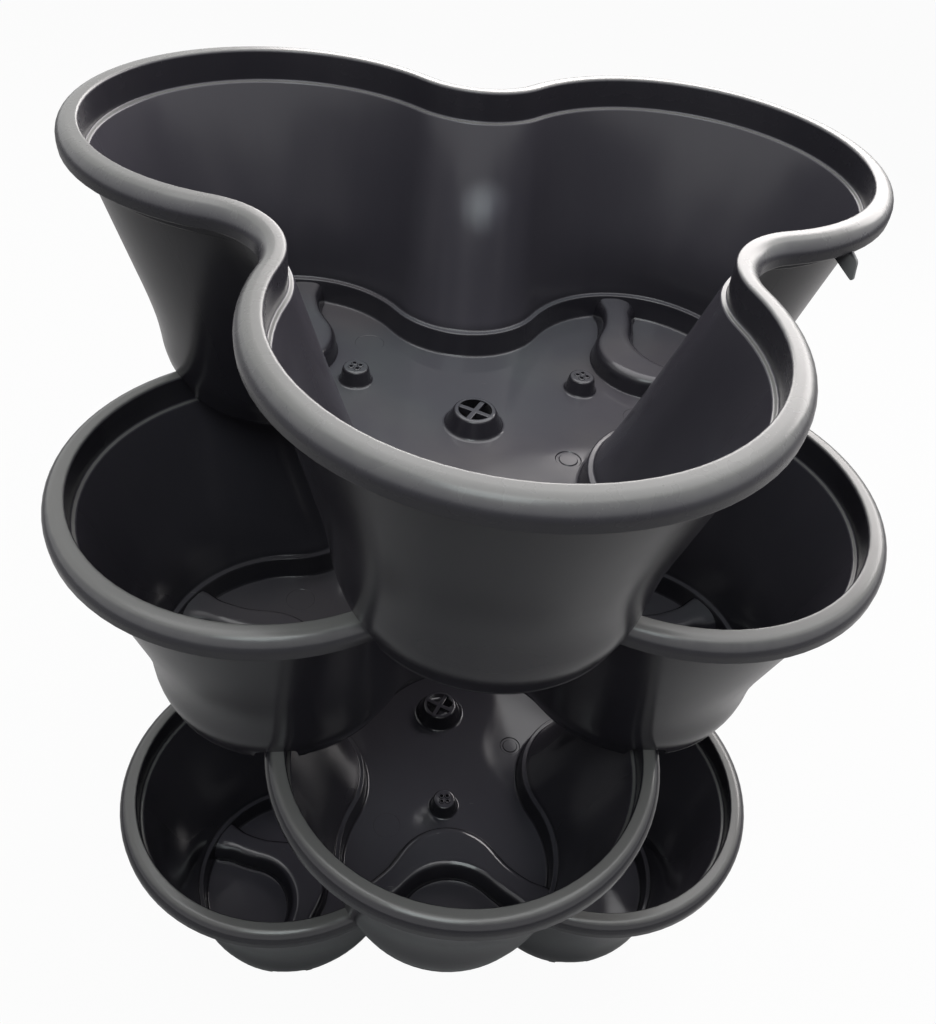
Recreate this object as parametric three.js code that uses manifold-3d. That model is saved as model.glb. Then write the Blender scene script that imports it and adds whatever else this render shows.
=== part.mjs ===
// A vertical planter tower: moulded three-lobed tubs, stacked.
// Each tub is turned half a lobe from the one below, so that its lobes stand out over that tub's waists,
// and it stands astride the rim there, in grooves on its underside.
// Millimetres, +Z up. The origin is on the ground, on the tower's axis.

import * as THREE from 'three';
import { mergeVertices } from 'three/addons/utils/BufferGeometryUtils.js';
import Module from 'manifold-3d';

const wasm = await Module();
wasm.setup();

// The tower
const tubNames = ['bottom_tub', 'lower_middle_tub', 'upper_middle_tub', 'top_tub'];
const lobeCount = 3;
const tubHeight = 131;
const nesting = 11; // how far a tub's base reaches down past the crest that carries it
const seatGap = 0.3; // between that crest and the roof of the groove
const wall = 2;
const overrun = 5; // how far a cut runs past the faces that it opens

// The opening inside the rim
const rimLobeRadius = 88;
const rimLobeReach = 107; // from the axis to the centre of a lobe's arc
const rimWaistShare = 0.397; // of a lobe's reach: the radius of a waist

// The rim's section: a rounded inner edge, a flat crest, an outward roll and a skirt
const edgeRound = 1.5;
const crestWidth = 2.5;
const rollWidth = 6;
const rollDrop = 7;
const skirtDepth = 11;
const skirtDraft = 0.2;

// The inside, below the rim
const stepDrop = 15.3;
const stepInset = 2.1;
const ledgeHeight = 15;
const ledgeWidth = 3;
const ledgeLobeShare = 0.727; // of a lobe's radius at the rim
const ledgeReachInset = 1.5; // smaller reach of a lobe at the ledge than at the rim
const ledgeWaistGrowth = 1;
const floorDraft = 1.5;
const floorWaistGrowth = 4.5;

// The outside: the wall bends at an elbow, stands steeper below it, and draws in under the ledge
const elbowHeight = 40;
const elbowLobeShare = 0.796;
const elbowReachInset = 4.3;
const baseLobeShare = 0.6875;
const baseWaistGrowth = 6;
const baseRound = 3;

// The grooves, the pads in the middle of their ridges, and the notches where grooves leave through the wall
const outerGap = 1; // outside the rim in a groove
const innerGap = 3.4; // inside it, at the groove's roof
const innerDraft = 1.4; // how much wider the groove is on that side at its foot
const padRadius = 32.6;
const padShift = 25; // from the centre of the waist's arc towards the axis
const grooveRunShare = 0.33; // of a lobe's half turn, past each end of the waist
const notchGap = 5; // on each side of the rim in a notch
const collarDepth = 4; // how far the spread end of a ridge stands in from the band

// The central drain: a hollow cone with a cross in its mouth
const drainBaseRadius = 15;
const drainTopRadius = 10.5;
const drainHeight = 9;
const crossWidth = 3;
const crossDepth = 3.5;

// A small cone with drip holes in each lobe
const dripReach = 69;
const dripBaseRadius = 8.5;
const dripTopRadius = 6.5;
const dripHeight = 8.5;
const dripHoleRadius = 1;
const dripHoleReach = 2.2;
const dripHoleCount = 4;

// The lug under the top tub's rim: a fin from the wall to the skirt, with a tip that stands out past it
const lugLobe = 1;
const lugTurn = THREE.MathUtils.degToRad(-85); // round the lobe's arc, from its tip
const lugThickness = 1.4;
const lugRootDrop = 4; // from the skirt's foot to where it leaves the wall
const lugTipDrop = 9.5;
const lugTipReach = 3.7; // past the skirt
const lugTipWidth = 2.4;
const lugHeelDrop = 2;
const lugHeelReach = 3.9;

// Finish
const tubColour = '#26262a';
const tubRoughness = 0.42;

// Facets
const lobeSteps = 12;
const waistSteps = 6;
const rollSteps = 3;
const insideRollSteps = 2;
const grooveWaistSteps = 8;
const grooveLobeSteps = 2;
const drainSides = 24;
const dripSides = 12;
const dripHoleSides = 6;

// Derived values
const bendShare = 1 - Math.SQRT1_2; // of a round's radius, from each side of its square corner to its middle
const halfLobe = Math.PI / lobeCount;
const pitch = tubHeight - nesting;
const crestStart = edgeRound;
const rollStart = edgeRound + crestWidth;
const rimWidth = rollStart + rollWidth;
const rollCentreHeight = tubHeight - rollDrop;
const skirtFoot = tubHeight - skirtDepth;
const stepHeight = tubHeight - stepDrop;
const grooveRoof = nesting + seatGap;
const rimWaistRadius = rimLobeReach * rimWaistShare;
const rimOutline = makeOutline(rimLobeRadius, rimLobeReach, rimWaistRadius);
const elbowOutline = makeOutline(rimLobeRadius * elbowLobeShare, rimLobeReach - elbowReachInset, rimWaistRadius);
const ledgeOutline = makeOutline(
  rimLobeRadius * ledgeLobeShare,
  rimLobeReach - ledgeReachInset,
  rimWaistRadius + ledgeWaistGrowth,
);
const bandOutline = grow(ledgeOutline, -ledgeWidth);
const floorOutline = makeOutline(
  bandOutline.lobeRadius - floorDraft,
  bandOutline.lobeReach,
  rimWaistRadius + floorWaistGrowth,
);
const baseOutline = makeOutline(rimLobeRadius * baseLobeShare, rimLobeReach, rimWaistRadius + baseWaistGrowth);

// An outline is convex lobe arcs joined by concave waist arcs that they run into smoothly.
// Its first lobe lies along +X. A turn is half the angle that an arc spans.
function makeOutline(lobeRadius, lobeReach, waistRadius) {
  const across = lobeReach * Math.sin(halfLobe);
  const waistReach = lobeReach * Math.cos(halfLobe) + Math.sqrt((lobeRadius + waistRadius) ** 2 - across ** 2);
  const waistX = waistReach * Math.cos(halfLobe);
  const waistY = waistReach * Math.sin(halfLobe);
  const lobeTurn = Math.atan2(waistY, waistX - lobeReach);
  return { lobeRadius, lobeReach, lobeTurn, waistRadius, waistReach, waistTurn: lobeTurn - halfLobe };
}

// The outline at a distance outside another one.
function grow(outline, distance) {
  return makeOutline(outline.lobeRadius + distance, outline.lobeReach, outline.waistRadius - distance);
}

// A point on an arc whose centre lies at a reach and angle from the axis.
function onArc(reach, centreAngle, radius, angle) {
  return new THREE.Vector2(
    reach * Math.cos(centreAngle) + radius * Math.cos(angle),
    reach * Math.sin(centreAngle) + radius * Math.sin(angle),
  );
}

function outlinePoints({ lobeRadius, lobeReach, lobeTurn, waistRadius, waistReach, waistTurn }) {
  const points = [];
  for (let lobe = 0; lobe < lobeCount; lobe += 1) {
    const lobeAngle = 2 * halfLobe * lobe;
    const waistAngle = lobeAngle + halfLobe;
    for (let step = 0; step <= lobeSteps; step += 1) {
      const turn = lobeTurn * (2 * step / lobeSteps - 1);
      points.push(onArc(lobeReach, lobeAngle, lobeRadius, lobeAngle + turn));
    }
    for (let step = 1; step < waistSteps; step += 1) {
      const turn = waistTurn * (1 - 2 * step / waistSteps);
      points.push(onArc(waistReach, waistAngle, waistRadius, waistAngle + Math.PI + turn));
    }
  }
  return points;
}

function solidFrom(geometry) {
  geometry.deleteAttribute('normal');
  geometry.deleteAttribute('uv');
  const merged = mergeVertices(geometry);
  return new wasm.Manifold(new wasm.Mesh({
    numProp: 3,
    vertProperties: new Float32Array(merged.attributes.position.array),
    triVerts: new Uint32Array(merged.index.array),
  }));
}

function geometryFrom(solid) {
  const mesh = solid.getMesh();
  const geometry = new THREE.BufferGeometry();
  geometry.setAttribute('position', new THREE.BufferAttribute(mesh.vertProperties, 3));
  geometry.setIndex(new THREE.BufferAttribute(mesh.triVerts, 1));
  geometry.computeVertexNormals();
  return geometry;
}

// A closed skin over rings of as many points each, with a flat fan over the first ring and the last.
// The rings run down the outside of a plain solid, so that the first one is its top.
function skinOver(rings, firstCentre, lastCentre) {
  const count = rings[0].length;
  const positions = [...rings.flat(), firstCentre, lastCentre];
  const first = positions.length - 2;
  const last = positions.length - 1;
  const lastRing = count * (rings.length - 1);
  const faces = [];
  for (let point = 0; point < count; point += 1) {
    const next = (point + 1) % count;
    faces.push(first, point, next, last, lastRing + next, lastRing + point);
    for (let start = 0; start < lastRing; start += count) {
      const corner = start + point;
      const beside = start + next;
      faces.push(corner, beside + count, beside, corner, corner + count, beside + count);
    }
  }
  const geometry = new THREE.BufferGeometry().setFromPoints(positions);
  geometry.setIndex(faces);
  return solidFrom(geometry);
}

// A solid through outlines at their heights.
function loft(levels) {
  const rings = levels.map(([outline, height]) => (
    outlinePoints(outline).map((point) => new THREE.Vector3(point.x, point.y, height))
  ));
  const firstHeight = levels[0][1];
  const lastHeight = levels[levels.length - 1][1];
  return skinOver(rings, new THREE.Vector3(0, 0, firstHeight), new THREE.Vector3(0, 0, lastHeight));
}

// A frustum on the axis, or at a reach along +X.
function frustum(foot, top, footRadius, topRadius, sides, reach = 0) {
  const geometry = new THREE.CylinderGeometry(topRadius, footRadius, top - foot, sides);
  geometry.rotateX(Math.PI / 2);
  geometry.translate(reach, 0, (foot + top) / 2);
  return solidFrom(geometry);
}

// The same solid at every lobe.
function atEachLobe(solid) {
  const lobeDegrees = 360 / lobeCount;
  const copies = Array.from({ length: lobeCount }, (_, lobe) => solid.rotate([0, 0, lobe * lobeDegrees]));
  return wasm.Manifold.union(copies);
}

// Points on the rim's roll, or on a larger one round the same centre, from its crest to its widest point.
// Each is how far it lies outside the opening, and its height.
function rollPoints(width, rise, centreHeight, steps = rollSteps) {
  const points = [];
  for (let step = 0; step <= steps; step += 1) {
    const turn = Math.PI / 2 * step / steps;
    points.push([rollStart + width * Math.sin(turn), centreHeight + rise * Math.cos(turn)]);
  }
  return points;
}

// The moulded shell: up the inside from the floor, over the rim, and down the outside to the base.
function shell() {
  const rimLevels = [
    [-stepInset, stepHeight],
    [0, stepHeight],
    [0, tubHeight - edgeRound],
    [crestStart, tubHeight],
    ...rollPoints(rollWidth, rollDrop, rollCentreHeight),
    [rimWidth - skirtDraft, skirtFoot],
    [rimWidth - skirtDraft - wall, skirtFoot],
    ...rollPoints(rollWidth - wall, rollDrop - wall, rollCentreHeight, insideRollSteps).reverse(),
    [wall, tubHeight - 2 * wall],
    [wall, stepHeight - wall],
    [wall - stepInset, stepHeight - wall],
  ];
  return loft([
    [floorOutline, wall],
    [bandOutline, ledgeHeight],
    [ledgeOutline, ledgeHeight],
    [grow(elbowOutline, -wall), elbowHeight],
    ...rimLevels.map(([distance, height]) => [grow(rimOutline, distance), height]),
    [elbowOutline, elbowHeight],
    [grow(ledgeOutline, wall), ledgeHeight],
    [baseOutline, baseRound],
    [grow(baseOutline, -baseRound * bendShare), baseRound * bendShare],
    [grow(baseOutline, -baseRound), 0],
  ]);
}

// How far a round pad reaches inside the waist of the rim below, at a turn round that waist.
function padReach(radius, turn) {
  const across = padShift * Math.sin(turn);
  return padShift * Math.cos(turn) + Math.sqrt(radius ** 2 - across ** 2) - rimWaistRadius;
}

// Stations along the rim below, where it passes under the lobe along +X.
// Each gives the point of the opening, the way out of it, and the turn round the waist.
function rimStations() {
  const stations = [];
  const { lobeRadius, lobeReach, lobeTurn, waistRadius, waistReach, waistTurn } = rimOutline;
  const run = grooveRunShare * lobeTurn;
  const addLobeStation = (side, share) => {
    const angle = side * (halfLobe - lobeTurn + run * share);
    const point = onArc(lobeReach, side * halfLobe, lobeRadius, angle);
    stations.push({ point, outward: new THREE.Vector2(Math.cos(angle), Math.sin(angle)), turn: waistTurn });
  };
  for (let step = grooveLobeSteps; step > 0; step -= 1) {
    addLobeStation(-1, step / grooveLobeSteps);
  }
  for (let step = 0; step <= grooveWaistSteps; step += 1) {
    const turn = waistTurn * (1 - 2 * step / grooveWaistSteps);
    const angle = Math.PI + turn;
    const point = onArc(waistReach, 0, waistRadius, angle);
    stations.push({ point, outward: new THREE.Vector2(-Math.cos(angle), -Math.sin(angle)), turn });
  }
  for (let step = 1; step <= grooveLobeSteps; step += 1) {
    addLobeStation(1, step / grooveLobeSteps);
  }
  return stations;
}

// A band swept along the rim below, under the lobe along +X. Its section may follow the turn round the waist.
function alongRim(sectionAt) {
  const rings = rimStations().map(({ point, outward, turn }) => sectionAt(turn).map(([distance, height]) => (
    new THREE.Vector3(point.x + outward.x * distance, point.y + outward.y * distance, height)
  )));
  const middleOf = (ring) => {
    const sum = ring.reduce((total, corner) => total.add(corner), new THREE.Vector3());
    return sum.divideScalar(ring.length);
  };
  return skinOver(rings, middleOf(rings[0]), middleOf(rings[rings.length - 1]));
}

// A cover over the rim below that stands off it by a groove's gaps and a thickness.
function rimCover(foot, roof, thickness) {
  const rollCentre = nesting - rollDrop;
  const clearance = outerGap + thickness;
  const pad = padRadius - wall + thickness;
  return alongRim((turn) => {
    const inner = Math.max(innerGap + thickness, padReach(pad, turn));
    return [
      [rimWidth + clearance, foot],
      ...rollPoints(rollWidth + clearance, roof - rollCentre, rollCentre).reverse(),
      [-inner, roof],
      [-inner - innerDraft, 0],
      [-inner - innerDraft, foot],
    ];
  });
}

// A square cover over the rim below, as wide as a notch and a thickness on each side.
function notchCover(foot, roof, thickness) {
  const gap = notchGap + thickness;
  return alongRim(() => [
    [rimWidth + gap, foot],
    [rimWidth + gap, roof],
    [-gap, roof],
    [-gap, foot],
  ]);
}

// What lies inside the band and the floor's edge, or a distance outside them.
function insideBand(distance) {
  return loft([
    [grow(bandOutline, distance), ledgeHeight],
    [grow(floorOutline, distance), 0],
    [grow(floorOutline, distance), -overrun],
  ]);
}

// The ridge over each groove, cut off inside the wall, and the collars that its ends spread into.
function ridges() {
  const roof = grooveRoof + wall;
  const collars = atEachLobe(notchCover(-overrun, roof, wall)).subtract(insideBand(-collarDepth));
  const below = loft([
    [grow(floorOutline, wall), wall / 2],
    [grow(floorOutline, wall), -2 * overrun],
  ]);
  return atEachLobe(rimCover(-overrun, roof, wall)).add(collars).intersect(insideBand(wall / 2)).subtract(below);
}

function grooves() {
  const notches = atEachLobe(notchCover(-overrun, grooveRoof, 0)).subtract(insideBand(wall - collarDepth));
  return atEachLobe(rimCover(-overrun, grooveRoof, 0)).add(notches);
}

// What is cut out of the drain's cone: its bore, apart from the cross that stays in its mouth.
function drainBore() {
  const top = wall + drainHeight;
  const taper = (drainBaseRadius - drainTopRadius) / drainHeight;
  const radiusAt = (height) => drainBaseRadius - wall - taper * (height - wall);
  const foot = -overrun;
  const end = top + overrun;
  const bore = frustum(foot, end, radiusAt(foot), radiusAt(end), drainSides);
  const barLength = 2 * drainBaseRadius;
  const barHeight = crossDepth + 2 * overrun;
  const bar = new THREE.BoxGeometry(barLength, crossWidth, barHeight);
  bar.rotateZ(halfLobe);
  bar.translate(0, 0, top - crossDepth + barHeight / 2);
  const otherBar = bar.clone().rotateZ(Math.PI / 2);
  return bore.subtract(solidFrom(bar)).subtract(solidFrom(otherBar));
}

// What is cut out of a small cone: the hollow under it, and the drip holes in its top.
function dripCut() {
  const top = wall + dripHeight;
  const hollow = frustum(-overrun, dripHeight, dripBaseRadius - wall, dripTopRadius - wall, dripSides, dripReach);
  const hole = frustum(0, top + overrun, dripHoleRadius, dripHoleRadius, dripHoleSides, dripHoleReach);
  const cuts = [hollow];
  for (let index = 0; index < dripHoleCount; index += 1) {
    const degrees = 360 * (index + 1 / 2) / dripHoleCount;
    cuts.push(hole.rotate([0, 0, degrees]).translate([dripReach, 0, 0]));
  }
  return atEachLobe(wasm.Manifold.union(cuts));
}

function makeTub() {
  const solids = [
    shell(),
    ridges(),
    frustum(wall / 2, wall + drainHeight, drainBaseRadius, drainTopRadius, drainSides),
    atEachLobe(frustum(wall / 2, wall + dripHeight, dripBaseRadius, dripTopRadius, dripSides, dripReach)),
  ];
  return wasm.Manifold.union(solids).subtract(grooves()).subtract(drainBore()).subtract(dripCut());
}

// The lug's outline is drawn outwards from the opening and upwards, then thickened round the rim.
function makeLug() {
  const root = skirtFoot + wall;
  const skirtFace = rimWidth - skirtDraft;
  const tipRadius = lugTipWidth / 2;
  const outline = new THREE.Shape();
  outline.moveTo(skirtFace - wall / 2, root);
  outline.lineTo(wall / 2, root);
  outline.lineTo(wall / 2, skirtFoot - lugRootDrop);
  outline.absarc(skirtFace + lugTipReach, skirtFoot - lugTipDrop, tipRadius, -2 * Math.PI / 3, 0, false);
  outline.lineTo(skirtFace + lugHeelReach, skirtFoot - lugHeelDrop);
  const geometry = new THREE.ExtrudeGeometry(outline, { depth: lugThickness, bevelEnabled: false, curveSegments: 3 });
  geometry.translate(0, 0, -lugThickness / 2);
  geometry.rotateX(Math.PI / 2);
  geometry.translate(rimLobeRadius, 0, 0);
  geometry.rotateZ(lugTurn);
  geometry.translate(rimLobeReach, 0, 0);
  geometry.rotateZ(2 * halfLobe * lugLobe);
  return solidFrom(geometry);
}

const plainTub = makeTub();
const topTub = plainTub.add(makeLug());
const material = new THREE.MeshStandardMaterial({ color: tubColour, roughness: tubRoughness, metalness: 0 });
const tower = new THREE.Group();
tubNames.forEach((name, tier) => {
  const isTop = tier === tubNames.length - 1;
  const tub = new THREE.Mesh(geometryFrom(isTop ? topTub : plainTub), material);
  tub.name = name;
  tub.rotation.z = Math.PI / 2 + halfLobe * tier;
  tub.position.z = pitch * tier;
  tower.add(tub);
});

export default tower;
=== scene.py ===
"""Looks of a vertical planter tower: moulded three-lobed tubs in satin charcoal plastic, stacked.

Every tub is made in its own frame first, in metres: its axis is Z, its base is at 0 and its first lobe
lies along +X. It is then turned and lifted to its place in the tower.
"""

import math

import bmesh
import bpy
import numpy as np
from bpy.props import FloatProperty, FloatVectorProperty, IntProperty, PointerProperty
from mathutils import Matrix, Vector


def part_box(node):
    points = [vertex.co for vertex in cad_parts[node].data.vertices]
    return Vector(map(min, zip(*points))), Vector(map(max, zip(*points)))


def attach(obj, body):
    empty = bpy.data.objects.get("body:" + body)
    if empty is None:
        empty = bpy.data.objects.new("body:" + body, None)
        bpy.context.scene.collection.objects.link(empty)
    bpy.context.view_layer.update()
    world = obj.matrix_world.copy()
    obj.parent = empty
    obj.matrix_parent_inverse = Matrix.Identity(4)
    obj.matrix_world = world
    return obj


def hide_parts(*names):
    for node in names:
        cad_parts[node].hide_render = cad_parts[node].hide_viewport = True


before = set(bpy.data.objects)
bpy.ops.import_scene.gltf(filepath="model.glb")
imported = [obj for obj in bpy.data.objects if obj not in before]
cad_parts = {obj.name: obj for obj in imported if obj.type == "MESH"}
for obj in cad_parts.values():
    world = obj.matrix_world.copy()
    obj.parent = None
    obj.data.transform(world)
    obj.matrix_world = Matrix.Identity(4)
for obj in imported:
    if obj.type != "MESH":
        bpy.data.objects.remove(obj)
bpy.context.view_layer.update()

bl_info = {
    "name": "Vertical planter tower",
    "version": (1, 0, 0),
    "blender": (4, 5, 0),
    "location": "View3D > Sidebar > Planter tower",
    "description": "Moulds the stacked tubs of a planter tower and sets its studio",
    "category": "Add Mesh",
}

TUBS = ("bottom_tub", "lower_middle_tub", "upper_middle_tub", "top_tub")
LOBES = 3
DRIP_HOLES = 4
FULL_TURN = 2 * math.pi
HALF_TURN = math.pi
QUARTER_TURN = math.pi / 2
LOBE_TURN = FULL_TURN / LOBES
HALF_LOBE = LOBE_TURN / 2
FIRST_TURN = QUARTER_TURN
TURN_PER_TUB = HALF_TURN
LUG_TUB = TUBS[-1]
MATERIAL_SLOT = "tub_plastic"
WHITE = (1.0, 1.0, 1.0, 1.0)
MATRIX_SIZE = 4
LENGTH_DIGITS = 5

# Facets
LOBE_STEPS = 48
WAIST_STEPS = 18
ROUND_STEPS = 5
ROLL_STEPS = 10
WALL_SPAN = 0.008  # longest stretch of wall between two rings
GROOVE_WAIST_STEPS = 36
GROOVE_LOBE_STEPS = 20
DRAIN_SIDES = 72
CONE_SIDES = 48
HOLE_SIDES = 20
BAR_ROUND_STEPS = 2
LUG_ROUND_STEPS = 3
SHARP_DEGREES = 34  # a sharper edge is shaded crisp
NORMAL_WEIGHT = 90
TINY = 1e-9  # keeps a stretch's length above zero

# Shares
SINK_SHARE = 0.02  # of the wall: how far what stands on the floor sinks into it
CORNER_SHARE = 0.5  # of a section's stretch: how much of it a corner's round may take
CAP_SHARE = 0.2  # of a cone's top radius: where its profile starts
HOLE_TURN_SHARE = 0.5  # of the turn between drip holes: where the first one lies
BAR_SINK_SHARE = 0.1  # of the wall: how far the drain's cross runs into its cone
BAR_ROUND_SHARE = 0.5  # of the small round: the round of the cross's edges
LUG_TIP_TURN_SHARE = 1 / 3  # of a full turn: how far the lug's tip is rounded
LUG_ROUND_SHARE = 0.25  # of the lug's thickness: the round of its edges
BEVEL_SHARE = 0.5  # of a full bulge: the shape of a rounded edge

TUB_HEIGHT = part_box(TUBS[0])[1].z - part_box(TUBS[0])[0].z
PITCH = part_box(TUBS[1])[0].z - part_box(TUBS[0])[0].z


def length(name, description, default):
    return FloatProperty(
        name=name,
        description=description,
        default=default,
        min=0,
        precision=LENGTH_DIGITS,
        unit="LENGTH",
        subtype="DISTANCE",
    )


def angle(name, description, degrees):
    return FloatProperty(name=name, description=description, default=math.radians(degrees), subtype="ANGLE")


def colour(name, description, default):
    return FloatVectorProperty(
        name=name, description=description, default=default, size=3, min=0, max=1, subtype="COLOR"
    )


def factor(name, description, default):
    return FloatProperty(name=name, description=description, default=default, min=0, max=1)


def level(name, description, default):
    return FloatProperty(name=name, description=description, default=default, min=0)


def position(name, description, default):
    return FloatVectorProperty(
        name=name, description=description, default=default, subtype="XYZ", unit="LENGTH"
    )


class TubShape(bpy.types.PropertyGroup):
    """Sizes of a tub. An outline's lobe radius, lobe reach and waist radius are given at each height."""

    wall: length("Wall", "Thickness of the moulding", 0.002)
    rim_lobe_radius: length("Rim lobe radius", "Radius of a lobe of the opening", 0.088)
    rim_lobe_reach: length("Rim lobe reach", "From the axis to the centre of a lobe's arc", 0.107)
    rim_waist_radius: length("Rim waist radius", "Radius of a waist of the opening", 0.0425)
    edge_round: length("Edge round", "Round of the rim's inner edge", 0.0015)
    crest_width: length("Crest width", "Flat of the rim's crest", 0.0025)
    roll_width: length("Roll width", "Width of the rim's outward roll", 0.006)
    roll_drop: length("Roll drop", "Depth of the rim's outward roll", 0.007)
    skirt_depth: length("Skirt depth", "From the crest to the skirt's foot", 0.011)
    skirt_draft: length("Skirt draft", "How far the skirt's foot draws in", 0.0002)
    step_drop: length("Step drop", "From the crest to the step inside", 0.0153)
    step_inset: length("Step inset", "Width of the step inside", 0.0021)
    elbow_height: length("Elbow height", "Height at which the wall bends", 0.040)
    elbow_lobe_radius: length("Elbow lobe radius", "Radius of a lobe outside the elbow", 0.070)
    elbow_lobe_reach: length("Elbow lobe reach", "Reach of a lobe outside the elbow", 0.1027)
    elbow_round: length("Elbow round", "How far the elbow's bend is drawn out", 0.018)
    ledge_height: length("Ledge height", "Height of the ledge inside", 0.015)
    ledge_width: length("Ledge width", "Width of the ledge inside", 0.003)
    ledge_lobe_radius: length("Ledge lobe radius", "Radius of a lobe at the ledge", 0.064)
    ledge_lobe_reach: length("Ledge lobe reach", "Reach of a lobe at the ledge", 0.1055)
    ledge_waist_radius: length("Ledge waist radius", "Radius of a waist at the ledge", 0.0435)
    shoulder_round: length("Shoulder round", "How far the bend outside the ledge is drawn out", 0.008)
    floor_draft: length("Floor draft", "How far the band draws in from the ledge to the floor", 0.0015)
    floor_waist_radius: length("Floor waist radius", "Radius of a waist at the floor", 0.047)
    base_lobe_radius: length("Base lobe radius", "Radius of a lobe outside the base", 0.0605)
    base_lobe_reach: length("Base lobe reach", "Reach of a lobe outside the base", 0.107)
    base_waist_radius: length("Base waist radius", "Radius of a waist outside the base", 0.0485)
    base_round: length("Base round", "Round of the base's edge", 0.003)
    small_round: length("Small round", "Round of the moulding's small edges", 0.0009)
    floor_round: length("Floor round", "Round where walls meet the floor", 0.0018)


class FloorShape(bpy.types.PropertyGroup):
    """Sizes of what stands on a tub's floor, or is cut into it."""

    seat_gap: length("Seat gap", "Between a groove's roof and the rim below", 0.0003)
    outer_gap: length("Outer gap", "Between a groove and the outside of the rim below", 0.001)
    inner_gap: length("Inner gap", "Between a groove's roof and the inside of the rim below", 0.0034)
    inner_draft: length("Inner draft", "How much wider a groove is inside at its foot", 0.0014)
    notch_gap: length("Notch gap", "Beside the rim below, where a groove leaves through the wall", 0.005)
    notch_spread: length("Notch spread", "Length over which a groove spreads to its notch", 0.012)
    collar_depth: length("Collar depth", "How far a ridge's widest part stands in from the band", 0.002)
    pad_radius: length("Pad radius", "Radius of the pad in the middle of a ridge", 0.0326)
    pad_shift: length("Pad shift", "From the centre of the waist's arc to the pad's", 0.025)
    pad_blend: length("Pad blend", "Over how much width a ridge runs into its pad", 0.004)
    groove_run: angle("Groove run", "How far a groove follows the lobes past the waist", 35)
    ridge_round: length("Ridge round", "Round of a ridge's inner shoulder", 0.0055)
    drain_base_radius: length("Drain base radius", "Radius of the drain's cone at the floor", 0.0147)
    drain_top_radius: length("Drain top radius", "Radius of the drain's cone at its mouth", 0.0105)
    drain_height: length("Drain height", "Height of the drain's cone", 0.009)
    drain_round: length("Drain round", "Round of the drain's mouth", 0.0014)
    cross_width: length("Cross width", "Width of a bar of the drain's cross", 0.0027)
    cross_depth: length("Cross depth", "Depth of a bar of the drain's cross", 0.0032)
    cross_recess: length("Cross recess", "How far the cross lies below the mouth", 0.0007)
    drip_reach: length("Drip cone reach", "From the axis to a drip cone", 0.069)
    drip_base_radius: length("Drip cone base radius", "Radius of a drip cone at the floor", 0.0083)
    drip_top_radius: length("Drip cone top radius", "Radius of a drip cone at its top", 0.0066)
    drip_height: length("Drip cone height", "Height of a drip cone", 0.0085)
    drip_round: length("Drip cone round", "Round of a drip cone's top", 0.0016)
    drip_hole_radius: length("Drip hole radius", "Radius of a drip hole", 0.001)
    drip_hole_reach: length("Drip hole reach", "From a drip cone's axis to a drip hole", 0.0025)
    burr_height: length("Burr height", "Height of the burr round a drip hole", 0.0004)
    burr_width: length("Burr width", "Width of the burr round a drip hole", 0.0006)
    ring_reach: length("Ring mark reach", "From the axis to the ring mark", 0.052)
    ring_outer_radius: length("Ring mark outer radius", "Outer radius of the ring mark", 0.0066)
    ring_inner_radius: length("Ring mark inner radius", "Inner radius of the ring mark", 0.0043)
    ring_depth: length("Ring mark depth", "Depth of the ring mark", 0.0005)
    pin_reach: length("Pin mark reach", "From the axis to an ejector pin's mark", 0.088)
    pin_turn: angle("Pin mark turn", "From a lobe's direction to its pin mark", -23)
    pin_radius: length("Pin mark radius", "Radius of an ejector pin's mark", 0.008)
    pin_depth: length("Pin mark depth", "Depth of an ejector pin's mark", 0.00012)
    lug_turn: angle("Lug turn", "Where the lug hangs, round its lobe from the tip", -85)
    lug_thickness: length("Lug thickness", "Thickness of the lug", 0.0014)
    lug_root_drop: length("Lug root drop", "From the skirt's foot to where the lug leaves the wall", 0.004)
    lug_tip_drop: length("Lug tip drop", "From the skirt's foot to the middle of the tip's round", 0.0095)
    lug_tip_reach: length("Lug tip reach", "How far the lug's tip stands out past the skirt", 0.0037)
    lug_tip_width: length("Lug tip width", "Width of the lug at its tip", 0.0024)
    lug_heel_drop: length("Lug heel drop", "From the skirt's foot to the lug's heel", 0.002)
    lug_heel_reach: length("Lug heel reach", "How far the lug's heel stands out past the skirt", 0.0039)


class PlasticLook(bpy.types.PropertyGroup):
    """Colours and finish of the plastic, with the painted light and highlights on it."""

    plastic: colour("Plastic", "Charcoal of the moulding", (0.0235, 0.0220, 0.0280))
    # Painted light: a paler charcoal on faces that look up, standing in for light from above
    painted_light: colour("Painted_light", "Thin bloom on what faces up a little", (0.100, 0.094, 0.114))
    film: colour("Film", "Greenish film of dust on the floors", (0.097, 0.112, 0.113))
    warm_film: colour("Warm film", "Where the film of dust is warmer", (0.122, 0.113, 0.114))
    # Wear on the upper rims, which also serves as painted highlight on the rims and the step inside
    faded_and_highlit: colour("Faded_and_highlit", "Where the plastic is rubbed", (0.185, 0.183, 0.177))
    # Painted light: the lug is coloured pale, as if lit from the front right
    painted_light_lug: colour("Painted_light_lug", "The lug, which is scuffed pale", (0.30, 0.30, 0.30))
    wall_roughness: factor("Wall roughness", "Roughness of the walls", 0.24)
    floor_roughness: factor("Floor roughness", "Roughness of the floor", 0.14)
    rim_roughness: factor("Rim roughness", "Roughness of the upper rims", 0.27)


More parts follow.
